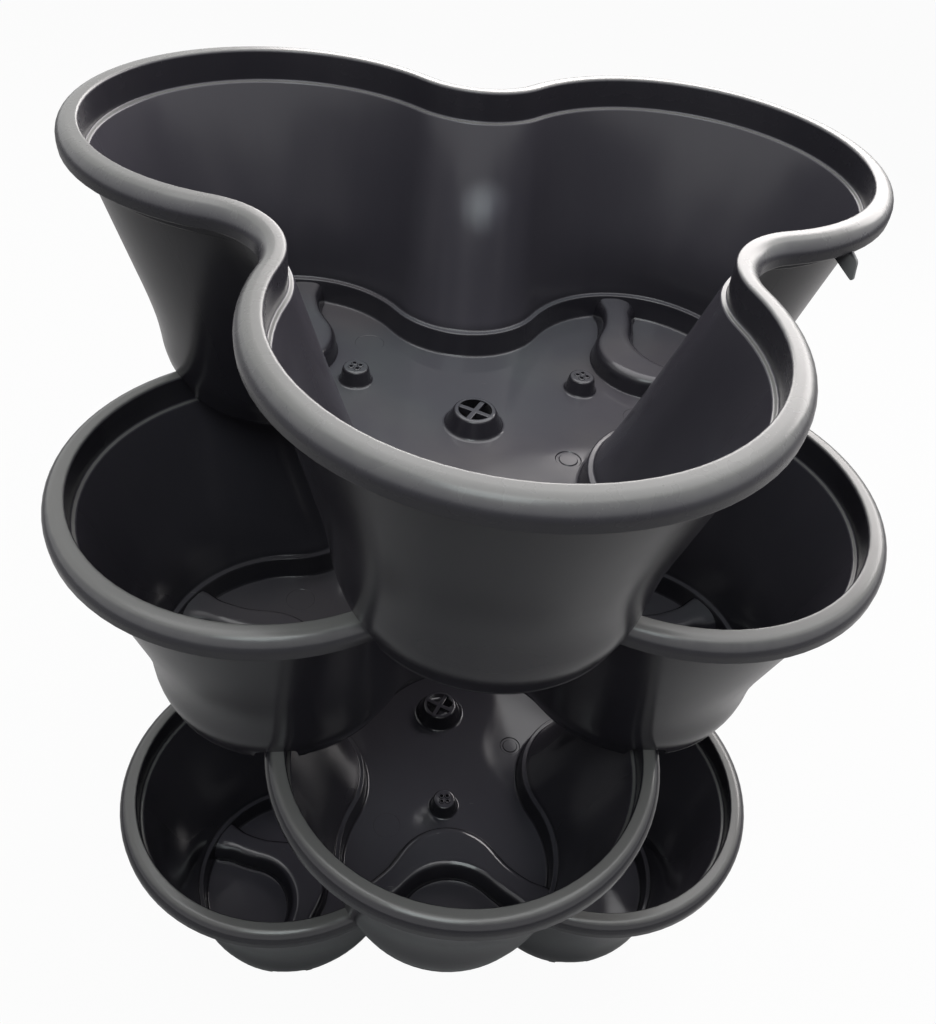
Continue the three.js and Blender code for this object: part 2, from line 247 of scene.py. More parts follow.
class StudioLook(bpy.types.PropertyGroup):
    """The camera and the studio."""

    camera_place: position("Camera place", "Where the camera stands", (-0.0547, -0.3927, 0.6585))
    camera_yaw: angle("Camera yaw", "Heading of the camera, from +Y towards +X", 9.53)
    camera_pitch: angle("Camera pitch", "How far the camera looks down", 40.27)
    camera_roll: angle("Camera roll", "How far the camera leans", 7.87)
    camera_lens: level("Lens", "Focal length in millimetres", 34.47)
    camera_shift: FloatVectorProperty(
        name="Camera shift",
        description="Shift of the picture, as a share of its longer side",
        default=(-0.0187, -0.0257),
        size=2,
    )
    floor_size: length("Floor size", "Width of the studio floor", 14.0)
    floor_drop: length("Floor drop", "How far the studio floor lies below the tower", 0.0005)
    floor_colour: colour("Floor colour", "Colour of the studio floor", (0.50, 0.50, 0.50))
    floor_grain: colour("Floor grain", "Colour of the studio floor's grain", (0.52, 0.52, 0.515))
    floor_glow: factor("Floor glow", "How much of the floor that the camera sees is plain white", 0.96)
    sky_colour: colour("Sky colour", "Light of the studio's walls", (0.96, 0.97, 1.0))
    sky_strength: level("Sky strength", "Strength of the light from all round", 0.21)
    ceiling_place: position("Ceiling lamp place", "Middle of the soft lamp overhead", (0.10, 0.12, 1.30))
    ceiling_size: length("Ceiling lamp size", "Width of the large soft lamp overhead", 1.3)
    ceiling_power: level("Ceiling lamp power", "Watts of the large soft lamp overhead", 9.0)
    ceiling_tint: colour("Ceiling lamp tint", "Colour of the large soft lamp overhead", (1.0, 0.99, 1.0))
    back_place: position("Back lamp place", "Middle of the soft lamp behind the tower", (0.58, 1.00, 0.98))
    back_width: length("Back lamp width", "Width of the wide soft lamp behind the tower", 1.9)
    back_height: length("Back lamp height", "Height of the wide soft lamp behind the tower", 0.5)
    back_power: level("Back lamp power", "Watts of the wide soft lamp behind the tower", 18.0)
    back_tint: colour("Back lamp tint", "Colour of the soft lamp behind the tower", (1.0, 0.955, 0.945))
    front_place: position("Front lamp place", "Middle of the lamp above the camera", (-0.18, -0.70, 1.40))
    front_size: length("Front lamp size", "Width of the soft lamp above the camera", 0.5)
    front_power: level("Front lamp power", "Watts of the soft lamp above the camera", 3.2)
    front_tint: colour("Front lamp tint", "Colour of the soft lamp above the camera", (0.90, 1.0, 1.0))
    lamp_aim: position("Lamp aim", "Point that the soft lamps face", (0.0, 0.0, 0.45))
    accent_aim: position("Accent aim", "Point that the small lamps light", (0.005, 0.088, 0.436))
    accent_offset: position("Accent offset", "From that point to the small lamps", (0.25, -0.617, 0.216))
    accent_lamps: IntProperty(name="Accent lamps", description="Number of small lamps", default=5, min=1)
    accent_spread: angle("Accent spread", "Turn about the lit point from one small lamp to the next", 16)
    accent_cone: angle("Accent cone", "Cone of a small lamp", 1.9)
    accent_power: level("Accent power", "Watts of a small lamp", 3.1)
    accent_radius: length("Accent radius", "Radius of a small lamp", 0.008)
    accent_tint: colour("Accent tint", "Colour of the small lamps", (0.90, 1.0, 1.0))


class Outline:
    """Convex lobe arcs joined by concave waist arcs that they run into smoothly."""

    def __init__(self, lobe, reach, waist):
        self.lobe = lobe
        self.reach = reach
        self.waist = waist
        across = reach * math.sin(HALF_LOBE)
        self.waist_reach = reach * math.cos(HALF_LOBE) + math.sqrt((lobe + waist) ** 2 - across**2)
        waist_x = self.waist_reach * math.cos(HALF_LOBE)
        waist_y = self.waist_reach * math.sin(HALF_LOBE)
        self.lobe_turn = math.atan2(waist_y, waist_x - reach)
        self.waist_turn = self.lobe_turn - HALF_LOBE

    def grown(self, distance):
        return Outline(self.lobe + distance, self.reach, self.waist - distance)

    def at(self, height):
        """A level: the outline's sizes and a height."""
        return np.array([self.lobe, self.reach, self.waist, height])

    def points(self):
        found = []
        for index in range(LOBES):
            lobe_angle = LOBE_TURN * index
            waist_angle = lobe_angle + HALF_LOBE
            for step in range(LOBE_STEPS + 1):
                turn = self.lobe_turn * (2 * step / LOBE_STEPS - 1)
                found.append(on_arc(self.reach, lobe_angle, self.lobe, lobe_angle + turn))
            for step in range(1, WAIST_STEPS):
                turn = self.waist_turn * (1 - 2 * step / WAIST_STEPS)
                inward = waist_angle + HALF_TURN + turn
                found.append(on_arc(self.waist_reach, waist_angle, self.waist, inward))
        return found


def on_arc(reach, centre_angle, radius, angle_on_arc):
    """A point on an arc whose centre lies at a reach and angle from the axis."""
    return (
        reach * math.cos(centre_angle) + radius * math.cos(angle_on_arc),
        reach * math.sin(centre_angle) + radius * math.sin(angle_on_arc),
    )


def rounded(corners, span=0):
    """The corners of a section, each given with its radius, with the sharp ones bent into a curve.
    Stretches longer than the span are divided."""
    points = [np.asarray(point, float) for point, _ in corners]
    bent = []
    for index, (_, radius) in enumerate(corners):
        corner = points[index]
        if radius == 0 or index in (0, len(points) - 1):
            bent.append(corner)
            continue
        before = points[index - 1] - corner
        after = points[index + 1] - corner
        start = corner + before * min(radius / section_length(before), CORNER_SHARE)
        end = corner + after * min(radius / section_length(after), CORNER_SHARE)
        for step in range(ROUND_STEPS + 1):
            share = step / ROUND_STEPS
            bent.append(start * (1 - share) ** 2 + corner * 2 * share * (1 - share) + end * share**2)
    if not span:
        return bent
    divided = [bent[0]]
    for point in bent[1:]:
        stretch = point - divided[-1]
        parts = max(1, math.ceil(section_length(stretch) / span))
        first = divided[-1]
        divided.extend(first + stretch * part / parts for part in range(1, parts + 1))
    return divided


def section_length(stretch):
    """Length of a stretch of a section. A level's lobe and reach add up to its sideways place."""
    if len(stretch) == 2:
        return max(math.hypot(*stretch), TINY)
    lobe, reach, waist, height = stretch
    return max(math.hypot(lobe + reach, height), abs(waist), TINY)


def roll_points(shape, width, rise, centre_height):
    """Points on the rim's roll, or on a larger one round the same centre:
    distance outside the opening, and height."""
    start = shape.edge_round + shape.crest_width
    found = []
    for step in range(ROLL_STEPS + 1):
        turn = QUARTER_TURN * step / ROLL_STEPS
        found.append((start + width * math.sin(turn), centre_height + rise * math.cos(turn)))
    return found


def quarter_round(radius):
    """Points down the round of a bottom edge: how far each draws in, and its height."""
    found = []
    for step in range(ROLL_STEPS + 1):
        turn = QUARTER_TURN * step / ROLL_STEPS
        found.append((radius * (1 - math.cos(turn)), radius * (1 - math.sin(turn))))
    return found


def skirt_reach(shape):
    """From the inside of the rim to the outside of its skirt's foot."""
    return shape.edge_round + shape.crest_width + shape.roll_width - shape.skirt_draft


def rim_outline(shape):
    return Outline(shape.rim_lobe_radius, shape.rim_lobe_reach, shape.rim_waist_radius)


def elbow_outline(shape):
    return Outline(shape.elbow_lobe_radius, shape.elbow_lobe_reach, shape.rim_waist_radius)


def ledge_outline(shape):
    return Outline(shape.ledge_lobe_radius, shape.ledge_lobe_reach, shape.ledge_waist_radius)


def band_outline(shape):
    return ledge_outline(shape).grown(-shape.ledge_width)


def floor_outline(shape):
    band = band_outline(shape)
    return Outline(band.lobe - shape.floor_draft, band.reach, shape.floor_waist_radius)


def base_outline(shape):
    return Outline(shape.base_lobe_radius, shape.base_lobe_reach, shape.base_waist_radius)


def add_object(name, data):
    made = bpy.data.objects.new(name, data)
    bpy.context.scene.collection.objects.link(made)
    return made


def mesh_object(name, vertices, faces):
    mesh = bpy.data.meshes.new(name)
    mesh.from_pydata([tuple(vertex) for vertex in vertices], [], faces)
    mesh.validate()
    return add_object(name, mesh)


def built_object(name, builder):
    """An object that holds what a mesh builder has made."""
    mesh = bpy.data.meshes.new(name)
    builder.to_mesh(mesh)
    builder.free()
    return add_object(name, mesh)


def about_axis(turn):
    return Matrix.Rotation(turn, MATRIX_SIZE, "Z")


def circle(radius, height, sides, place):
    """Points round a level circle."""
    x, y = place
    turns = [FULL_TURN * side / sides for side in range(sides)]
    return [(x + radius * math.cos(turn), y + radius * math.sin(turn), height) for turn in turns]


def skin_over(name, rings):
    """A closed skin over rings of as many points each. The rings run down the outside of a plain solid."""
    count = len(rings[0])
    vertices = [vertex for ring in rings for vertex in ring]
    faces = [tuple(range(count))]
    last_ring = count * (len(rings) - 1)
    for start in range(0, last_ring, count):
        for point in range(count):
            beside = (point + 1) % count
            faces.append((start + point, start + count + point, start + count + beside, start + beside))
    faces.append(tuple(last_ring + point for point in reversed(range(count))))
    return mesh_object(name, vertices, faces)


def lathe(name, profile, sides, place=(0, 0)):
    """A solid of revolution. Its profile runs down the outside, and both of its ends are capped."""
    return skin_over(name, [circle(radius, height, sides, place) for radius, height in profile])


def joined(name, objects):
    """One object out of several, whose shells stay apart."""
    builder = bmesh.new()
    for piece in objects:
        builder.from_mesh(piece.data)
        bpy.data.objects.remove(piece)
    return built_object(name, builder)


def at_each_lobe(name, piece):
    copies = []
    for index in range(LOBES):
        copy = bpy.data.objects.new(name, piece.data.copy())
        copy.data.transform(about_axis(LOBE_TURN * index))
        copies.append(copy)
    bpy.data.objects.remove(piece)
    return joined(name, copies)


def combine(target, tool, operation):
    """Joins the tool to the target or cuts it out of the target, and removes the tool."""
    modifier = target.modifiers.new("combine", "BOOLEAN")
    modifier.operation = operation
    modifier.solver = "MANIFOLD"
    modifier.object = tool
    graph = bpy.context.evaluated_depsgraph_get()
    mesh = bpy.data.meshes.new_from_object(target.evaluated_get(graph))
    target.modifiers.clear()
    old = target.data
    target.data = mesh
    bpy.data.meshes.remove(old)
    bpy.data.objects.remove(tool)
    if not mesh.polygons:
        raise RuntimeError(f"nothing was left of {target.name}")


def shell(shape):
    """The moulded shell: up the inside from the floor, over the rim, and down the outside to the base."""
    wall = shape.wall
    fine = shape.small_round
    rim = rim_outline(shape)
    ledge = ledge_outline(shape)
    elbow = elbow_outline(shape)
    floor = floor_outline(shape)
    base = base_outline(shape)
    step = TUB_HEIGHT - shape.step_drop
    foot = TUB_HEIGHT - shape.skirt_depth
    roll_centre = TUB_HEIGHT - shape.roll_drop
    skirt = skirt_reach(shape)
    outer_roll = roll_points(shape, shape.roll_width, shape.roll_drop, roll_centre)
    inner_roll = roll_points(shape, shape.roll_width - wall, shape.roll_drop - wall, roll_centre)
    corners = [
        (floor.grown(-2 * shape.floor_round).at(wall), 0),
        (floor.at(wall), shape.floor_round),
        (band_outline(shape).at(shape.ledge_height), fine),
        (ledge.at(shape.ledge_height), fine),
        (elbow.grown(-wall).at(shape.elbow_height), shape.elbow_round),
        (rim.grown(-shape.step_inset).at(step), fine),
        (rim.at(step), fine),
        (rim.at(TUB_HEIGHT), shape.edge_round),
        *((rim.grown(out).at(height), 0) for out, height in outer_roll),
        (rim.grown(skirt).at(foot), fine),
        (rim.grown(skirt - wall).at(foot), fine),
        *((rim.grown(out).at(height), 0) for out, height in reversed(inner_roll)),
        (rim.grown(wall).at(TUB_HEIGHT - wall), wall),
        (rim.grown(wall).at(step - wall), fine),
        (rim.grown(wall - shape.step_inset).at(step - wall), fine),
        (elbow.at(shape.elbow_height), shape.elbow_round),
        (ledge.grown(wall).at(shape.ledge_height), shape.shoulder_round),
        *((base.grown(-inset).at(height), 0) for inset, height in quarter_round(shape.base_round)),
    ]
    rings = []
    for lobe, reach, waist, height in rounded(corners, WALL_SPAN):
        rings.append([(x, y, height) for x, y in Outline(lobe, reach, waist).points()])
    return skin_over("shell", rings)


def pad_reach(details, waist_radius, pad_radius, turn):
    """How far a round pad reaches inside the waist of the rim below, at a turn round that waist."""
    across = details.pad_shift * math.sin(turn)
    return details.pad_shift * math.cos(turn) + math.sqrt(pad_radius**2 - across**2) - waist_radius


def rim_stations(shape, details):
    """Stations along the rim below, where it passes under the lobe along +X:
    a point of the opening, the way out of it, and the turn round the waist."""
    rim = rim_outline(shape)
    found = []

    def add_lobe_station(side, share):
        turned = side * (HALF_LOBE - rim.lobe_turn + details.groove_run * share)
        point = on_arc(rim.reach, side * HALF_LOBE, rim.lobe, turned)
        found.append((point, (math.cos(turned), math.sin(turned)), rim.waist_turn))

    for step in range(GROOVE_LOBE_STEPS, 0, -1):
        add_lobe_station(-1, step / GROOVE_LOBE_STEPS)
    for step in range(GROOVE_WAIST_STEPS + 1):
        turn = rim.waist_turn * (1 - 2 * step / GROOVE_WAIST_STEPS)
        turned = HALF_TURN + turn
        point = on_arc(rim.waist_reach, 0, rim.waist, turned)
        found.append((point, (-math.cos(turned), -math.sin(turned)), turn))
    for step in range(1, GROOVE_LOBE_STEPS + 1):
        add_lobe_station(1, step / GROOVE_LOBE_STEPS)
    return found


def soft_most(first, second, blend):
    """The larger of two sizes, with a smooth change from one to the other."""
    share = max(0.0, 1 - abs(first - second) / blend)
    return max(first, second) + blend * share * share / 4


def between(first, second, share):
    """A size between two others, eased at both ends."""
    held = min(max(share, 0.0), 1.0)
    return first + (second - first) * held * held * (3 - 2 * held)


def rim_cover(name, shape, details, roof, thickness, section):
    """A band that covers the rim below, under the lobe along +X, at a groove's gaps and a thickness.
    It spreads towards the notches in the wall. The section gives its corners."""
    centre = TUB_HEIGHT - PITCH - shape.roll_drop
    band = band_outline(shape)
    pad_radius = details.pad_radius - shape.wall + thickness
    rings = []
    for point, outward, turn in rim_stations(shape, details):
        depth = band.lobe - math.hypot(point[0] - band.reach, point[1])
        share = 1 - (depth - details.collar_depth) / details.notch_spread
        outer_gap = between(details.outer_gap, details.notch_gap, share)
        inner_gap = between(details.inner_gap, details.notch_gap, share)
        pad = pad_reach(details, shape.rim_waist_radius, pad_radius, turn)
        inner = soft_most(inner_gap + thickness, pad, details.pad_blend)
        roll = roll_points(shape, shape.roll_width + outer_gap + thickness, roof - centre, centre)
        rings.append([
            (point[0] + outward[0] * out, point[1] + outward[1] * out, height)
            for out, height in rounded(section(roll, inner))
        ])
    return skin_over(name, rings)


def ridges(shape, details):
    """The ridge over each groove, cut off inside the wall."""
    wall = shape.wall
    roof = TUB_HEIGHT - PITCH + details.seat_gap + wall
    sunk = wall - SINK_SHARE * wall
    fillet = shape.floor_round

    def section(roll, inner):
        outer = roll[-1][0]
        foot = inner + details.inner_draft
        return [
            ((outer + fillet, wall / 2), 0),
            ((outer + fillet, sunk), 0),
            ((outer, sunk), fillet),
            *((corner, 0) for corner in reversed(roll)),
            ((-inner, roof), details.ridge_round),
            ((-foot, sunk), fillet),
            ((-foot - fillet, sunk), 0),
            ((-foot - fillet, wall / 2), 0),
        ]

    ridge = rim_cover("ridge", shape, details, roof, wall, section)
    made = at_each_lobe("ridges", ridge)
    middle = wall / 2
    limit = skin_over("limit", [
        [(x, y, height) for x, y in outline.grown(middle).points()]
        for outline, height in ((band_outline(shape), shape.ledge_height), (floor_outline(shape), 0))
    ])
    combine(made, limit, "INTERSECT")
    return made


def grooves(shape, details):
    wall = shape.wall
    roof = TUB_HEIGHT - PITCH + details.seat_gap

    def section(roll, inner):
        outer = roll[-1][0]
        foot = inner + details.inner_draft
        return [
            ((outer, -wall), 0),
            *((corner, 0) for corner in reversed(roll)),
            ((-inner, roof), details.ridge_round - wall),
            ((-foot, 0), 0),
            ((-foot, -wall), 0),
        ]

    return at_each_lobe("grooves", rim_cover("groove", shape, details, roof, 0, section))


def cone_profile(shape, foot_radius, top_radius, height, top_round):
    """The outside of a cone on the floor, with a filleted foot that sinks into it."""
    wall = shape.wall
    sunk = wall - SINK_SHARE * wall
    fillet = shape.floor_round
    corners = [
        ((CAP_SHARE * top_radius, wall + height), 0),
        ((top_radius, wall + height), top_round),
        ((foot_radius, sunk), fillet),
        ((foot_radius + 2 * fillet, sunk), 0),
        ((foot_radius + 2 * fillet, wall / 2), 0),
    ]
    return rounded(corners)


def at_each_hole(name, details, profile):
    """The same solid of revolution at every drip hole of the cone along +X."""
    holes = []
    for index in range(DRIP_HOLES):
        turn = FULL_TURN * (index + HOLE_TURN_SHARE) / DRIP_HOLES
        place = (
            details.drip_reach + details.drip_hole_reach * math.cos(turn),
            details.drip_hole_reach * math.sin(turn),
        )
        holes.append(lathe(name, profile, HOLE_SIDES, place))
    return joined(name, holes)


def floor_fittings(shape, details):
    """The drain's cone, the drip cones and the burrs round their holes, all solid."""
    drain_cone = cone_profile(
        shape,
        details.drain_base_radius,
        details.drain_top_radius,
        details.drain_height,
        details.drain_round,
    )
    drip_cone = cone_profile(
        shape,
        details.drip_base_radius,
        details.drip_top_radius,
        details.drip_height,
        details.drip_round,
    )
    drain = lathe("drain", drain_cone, DRAIN_SIDES)
    drip = lathe("drip", drip_cone, CONE_SIDES, (details.drip_reach, 0))
    drip_top = shape.wall + details.drip_height
    burr_top = drip_top + details.burr_height
    burr_radius = details.drip_hole_radius + details.burr_width
    burr = rounded([
        ((details.drip_hole_radius / 2, burr_top), 0),
        ((burr_radius, burr_top), details.burr_height),
        ((burr_radius + details.burr_height, drip_top - details.burr_height), 0),
    ])
    return [drain, at_each_lobe("drips", drip), at_each_lobe("burrs", at_each_hole("burr", details, burr))]


def bore_radius(shape, details, height):
    taper = (details.drain_base_radius - details.drain_top_radius) / details.drain_height
    return details.drain_base_radius - shape.wall - taper * (height - shape.wall)


def floor_cuts(shape, details):
    """What is cut out of the floor and its cones."""
    wall = shape.wall
    drain_top = wall + details.drain_height
    bore_profile = [(bore_radius(shape, details, height), height) for height in (drain_top + wall, -wall)]
    bore = lathe("bore", bore_profile, DRAIN_SIDES)
    hollow_profile = [
        (details.drip_top_radius - wall, details.drip_height),
        (details.drip_base_radius - wall, -wall),
    ]
    hollow = lathe("hollow", hollow_profile, CONE_SIDES, (details.drip_reach, 0))
    drip_top = wall + details.drip_height
    hole = at_each_hole("hole", details, [
        (details.drip_hole_radius, drip_top + wall),
        (details.drip_hole_radius, details.drip_height - wall / 2),
    ])
    return bore, at_each_lobe("hollows", hollow), at_each_lobe("holes", hole)


def floor_marks(shape, details):
    """The mould's marks in the floor: one ring, and the ejector pins' round faces."""
    wall = shape.wall
    ring_depth = details.ring_depth
    outer = details.ring_outer_radius
    inner = details.ring_inner_radius
    ring_place = on_arc(details.ring_reach, HALF_LOBE, 0, 0)
    sides = CONE_SIDES
    loops = [
        (outer + ring_depth, wall + ring_depth),
        (outer - ring_depth, wall - ring_depth),
        (inner + ring_depth, wall - ring_depth),
        (inner - ring_depth, wall + ring_depth),
    ]
    vertices = [point for radius, height in loops for point in circle(radius, height, sides, ring_place)]
    faces = []
    for loop in range(len(loops)):
        following = (loop + 1) % len(loops)
        for side in range(sides):
            beside = (side + 1) % sides
            faces.append((
                loop * sides + side,
                following * sides + side,
                following * sides + beside,
                loop * sides + beside,
            ))
    ring = mesh_object("ring", vertices, faces)
    depth = details.pin_depth
    pin_place = on_arc(details.pin_reach, details.pin_turn, 0, 0)
    pin_profile = [
        (details.pin_radius + 2 * depth, wall + 2 * depth),
        (details.pin_radius - 2 * depth, wall - depth),
    ]
    return [ring, at_each_lobe("pins", lathe("pin", pin_profile, CONE_SIDES, pin_place))]


def round_edges(builder, edges, radius, steps):
    bmesh.ops.bevel(
        builder,
        geom=edges,
        offset=radius,
        segments=steps,
        profile=BEVEL_SHARE,
        affect="EDGES",
        clamp_overlap=True,
    )


def cross_bars(shape, details):
    """The two bars of the drain's cross, with rounded edges. Their ends lie inside the cone's wall."""
    top = shape.wall + details.drain_height - details.cross_recess
    middle = top - details.cross_depth / 2
    reach = bore_radius(shape, details, top - details.cross_depth) + BAR_SINK_SHARE * shape.wall
    bars = []
    for turn in (HALF_LOBE, HALF_LOBE + QUARTER_TURN):
        builder = bmesh.new()
        bmesh.ops.create_cube(builder, size=1)
        size = Matrix.Diagonal((2 * reach, details.cross_width, details.cross_depth, 1))
        bmesh.ops.transform(builder, matrix=size, verts=builder.verts)
        round_edges(builder, list(builder.edges), BAR_ROUND_SHARE * shape.small_round, BAR_ROUND_STEPS)
        placed = Matrix.Translation((0, 0, middle)) @ about_axis(turn)
        bmesh.ops.transform(builder, matrix=placed, verts=builder.verts)
        bars.append(built_object("bar", builder))
    return bars


def lug_turned(shape, details):
    """From the upright lug, drawn outwards along X, to its place under the rim."""
    at_lobe = Matrix.Translation((shape.rim_lobe_reach, 0, 0))
    return about_axis(LOBE_TURN) @ at_lobe @ about_axis(details.lug_turn)


def lug_middle(shape, details):
    """The middle of the lug's tip, in the tub's own frame."""
    out = shape.rim_lobe_radius + skirt_reach(shape) + details.lug_tip_reach
    height = TUB_HEIGHT - shape.skirt_depth - details.lug_tip_drop
    return lug_turned(shape, details) @ Vector((out, 0, height))


def lug(shape, details):
    """A fin from the wall to the skirt, with a tip that stands out past it."""
    wall = shape.wall
    foot = TUB_HEIGHT - shape.skirt_depth
    skirt = skirt_reach(shape)
    tip_radius = details.lug_tip_width / 2
    outline = [
        (skirt - wall / 2, foot + wall),
        (wall / 2, foot + wall),
        (wall / 2, foot - details.lug_root_drop),
    ]
    for step in range(ROLL_STEPS + 1):
        turn = LUG_TIP_TURN_SHARE * FULL_TURN * (step / ROLL_STEPS - 1)
        outline.append((
            skirt + details.lug_tip_reach + tip_radius * math.cos(turn),
            foot - details.lug_tip_drop + tip_radius * math.sin(turn),
        ))
    heel = (skirt + details.lug_heel_reach, foot - details.lug_heel_drop)
    heel_corners = [(outline[-1], 0), (heel, tip_radius), (outline[0], 0)]
    outline.extend(tuple(point) for point in rounded(heel_corners)[1:-1])
    half = details.lug_thickness / 2
    made = skin_over("lug", [
        [(shape.rim_lobe_radius + out, side, height) for out, height in outline] for side in (half, -half)
    ])
    builder = bmesh.new()
    builder.from_mesh(made.data)
    bmesh.ops.recalc_face_normals(builder, faces=builder.faces)
    caps = [edge for edge in builder.edges if edge.verts[0].co.y * edge.verts[1].co.y > 0]
    round_edges(builder, caps, LUG_ROUND_SHARE * details.lug_thickness, LUG_ROUND_STEPS)
    builder.to_mesh(made.data)
    builder.free()
    made.data.transform(lug_turned(shape, details))
    return made


def mould_tub(shape, details):
    tub = shell(shape)
    combine(tub, ridges(shape, details), "UNION")
    for fitting in floor_fittings(shape, details):
        combine(tub, fitting, "UNION")
    combine(tub, grooves(shape, details), "DIFFERENCE")
    for cut in floor_cuts(shape, details):
        combine(tub, cut, "DIFFERENCE")
    for mark in floor_marks(shape, details):
        combine(tub, mark, "DIFFERENCE")
    for bar in cross_bars(shape, details):
        combine(tub, bar, "UNION")
    return tub


def finish_mesh(tub):
    """Smooth shading with crisp edges, and flat faces that stay flat."""
    mesh = tub.data
    mesh.shade_smooth()
    mesh.set_sharp_from_angle(angle=math.radians(SHARP_DEGREES))
    modifier = tub.modifiers.new("normals", "WEIGHTED_NORMAL")
    modifier.keep_sharp = True
    modifier.weight = NORMAL_WEIGHT


# Where a colour mix's node has its two colours, and its result
FIRST_COLOUR = 6
SECOND_COLOUR = 7
MIXED_COLOUR = 2


class Socket:
    """A shader output that Python arithmetic works on: each operation adds its Math node."""

    def __init__(self, shader, socket):
        self.shader = shader
        self.socket = socket

    def _math(self, operation, *values, clamp=False):
        return self.shader.add(
            "ShaderNodeMath", {"operation": operation, "use_clamp": clamp}, dict(enumerate(values))
        )

    def __add__(self, other):
        return self._math("ADD", self, other)

    __radd__ = __add__

    def __sub__(self, other):
        return self._math("SUBTRACT", self, other)

    def __rsub__(self, other):
        return self._math("SUBTRACT", other, self)

    def __mul__(self, other):
        return self._math("MULTIPLY", self, other)

    __rmul__ = __mul__

    def clamped(self):
        return self._math("ADD", self, 0, clamp=True)

    def band(self, limits):
        """0 below the lower limit, 1 above the upper one, and a smooth rise between."""
        low, high = limits
        return self.shader.add(
            "ShaderNodeMapRange",
            {"interpolation_type": "SMOOTHSTEP"},
            {"Value": self, "From Min": low, "From Max": high},
        )


class Shader:
    """Builds the nodes of one material, or of the world."""

    def __init__(self, owner):
        owner.use_nodes = True
        self.tree = owner.node_tree
        self.tree.nodes.clear()

    def add(self, kind, settings=None, values=None, output=0):
        """A node of a kind: its settings are set first, then its sockets. Returns one of its outputs."""
        node = self.tree.nodes.new(kind)
        for name, value in (settings or {}).items():
            setattr(node, name, value)
        for name, value in (values or {}).items():
            socket = node.inputs[name]
            if isinstance(value, Socket):
                self.tree.links.new(value.socket, socket)
            else:
                socket.default_value = value
        return Socket(self, node.outputs[output]) if node.outputs else None

    def mix(self, share, first, second):
        """A colour between two colours."""
        values = {"Factor": share, FIRST_COLOUR: first, SECOND_COLOUR: second}
        return self.add("ShaderNodeMix", {"data_type": "RGBA"}, values, MIXED_COLOUR)

    def mix_shaders(self, share, first, second):
        return self.add("ShaderNodeMixShader", values=dict(enumerate((share, first, second))))

    def noise(self, vector, pattern):
        scale, detail, roughness = pattern
        values = {"Vector": vector, "Scale": scale, "Detail": detail, "Roughness": roughness}
        return self.add("ShaderNodeTexNoise", values=values)

    def rays(self, *kinds):
        """1 for rays of these kinds and 0 for the others."""
        first, *others = (self.add("ShaderNodeLightPath", output=kind) for kind in kinds)
        return sum(others, first).clamped()

    def stretched(self, vector, scale):
        return self.add("ShaderNodeVectorMath", {"operation": "MULTIPLY"}, dict(enumerate((vector, scale))))


def rgba(value):
    return (*value, 1.0)


# Masks: the value at which each starts, and at which it is full
LEVEL_FACES = (0.75, 0.98)  # how far a face looks up
# Rims that look up get more wear and painted highlight
RUBBED_AND_HIGHLIT_FACES = (0.1, 0.9)
# Faces that look up get painted light
PAINTED_LIGHT_FACES = (-0.15, 0.5)
BASE_HEIGHTS = (0.013, 0.020)  # above the base of the face's own tub
STEP_HEIGHTS = (0.108, 0.113)
RIM_HEIGHTS = (0.118, 0.124)
UPPER_HEIGHTS = (0.24, 0.48)  # above the ground
FILMED_HEIGHTS = (0.02, 0.36)
SCRATCH_STREAKS = (0.73, 0.76)  # of a noise
SCRATCH_PATCHES = (0.55, 0.60)
DUST_SPECKS = (0.66, 0.78)
DUST_CLOUDS = (0.35, 0.65)
RUBBED_PATCHES = (0.3, 0.7)
FILM_CLOUDS = (0.38, 0.66)
WARM_HAZE = (0.42, 0.58)

# Noises: scale, detail and roughness
CLOUD = (14.0, 4.0, 0.55)
MOTTLE = (90.0, 3.0, 0.55)
SPECK = (1400.0, 2.0, 0.7)
FLOW = (1.0, 4.0, 0.55)
STREAK = (1.0, 1.0, 0.5)
HAZE = (7.0, 1.0, 0.55)
WAVE = (30.0, 1.0, 0.55)
PEEL = (900.0, 2.0, 0.55)
GRAIN = (40.0, 3.0, 0.55)
FLOW_STRETCH = (60.0, 60.0, 3.0)  # waves a metre along X, Y and Z
STREAK_STRETCH = (25.0, 600.0, 25.0)
NOISE_MIDDLE = 0.5

# Shares of a mix, between plain plastic and the dust, wear and painted light on it
WALL_DUST_SHARE = 0.04
# Wear and painted highlight on the upper rims
RUBBED_AND_HIGHLIT_SHARE = 0.60
RUBBED_PATCH_SHARE = 0.25
# Painted shade: the rims of the lower tubs get no painted light
SHADED_LOW_RIM_SHARE = 0.95
# Painted light on walls and floors that look up
WALL_PAINTED_LIGHT_SHARE = 0.56
FLOOR_PAINTED_LIGHT_SHARE = 0.75
FILM_SHARE = 0.26
FILM_CLOUD_SHARE = 0.34
FADED_SHARE = 0.02
CLOUD_TONE_SHARE = 0.10
FLOW_TONE_SHARE = 0.06
# Painted highlight on the step inside the rim
STEP_HIGHLIGHT_SHARE = 0.9
FADED_DUST_SHARE = 0.3
FADED_SCRATCH_SHARE = 0.5

# What each adds to the roughness
LOW_POLISH = 0.05
MOTTLE_ROUGHNESS = 0.06
CLOUD_ROUGHNESS = 0.08
DUST_ROUGHNESS = 0.15

# Relief, in metres
WAVE_HEIGHT = 0.00016
PEEL_HEIGHT = 0.000002
FLOW_HEIGHT = 0.00001
SCRATCH_DEPTH = 0.00001

PLASTIC_REFRACTION = 1.5


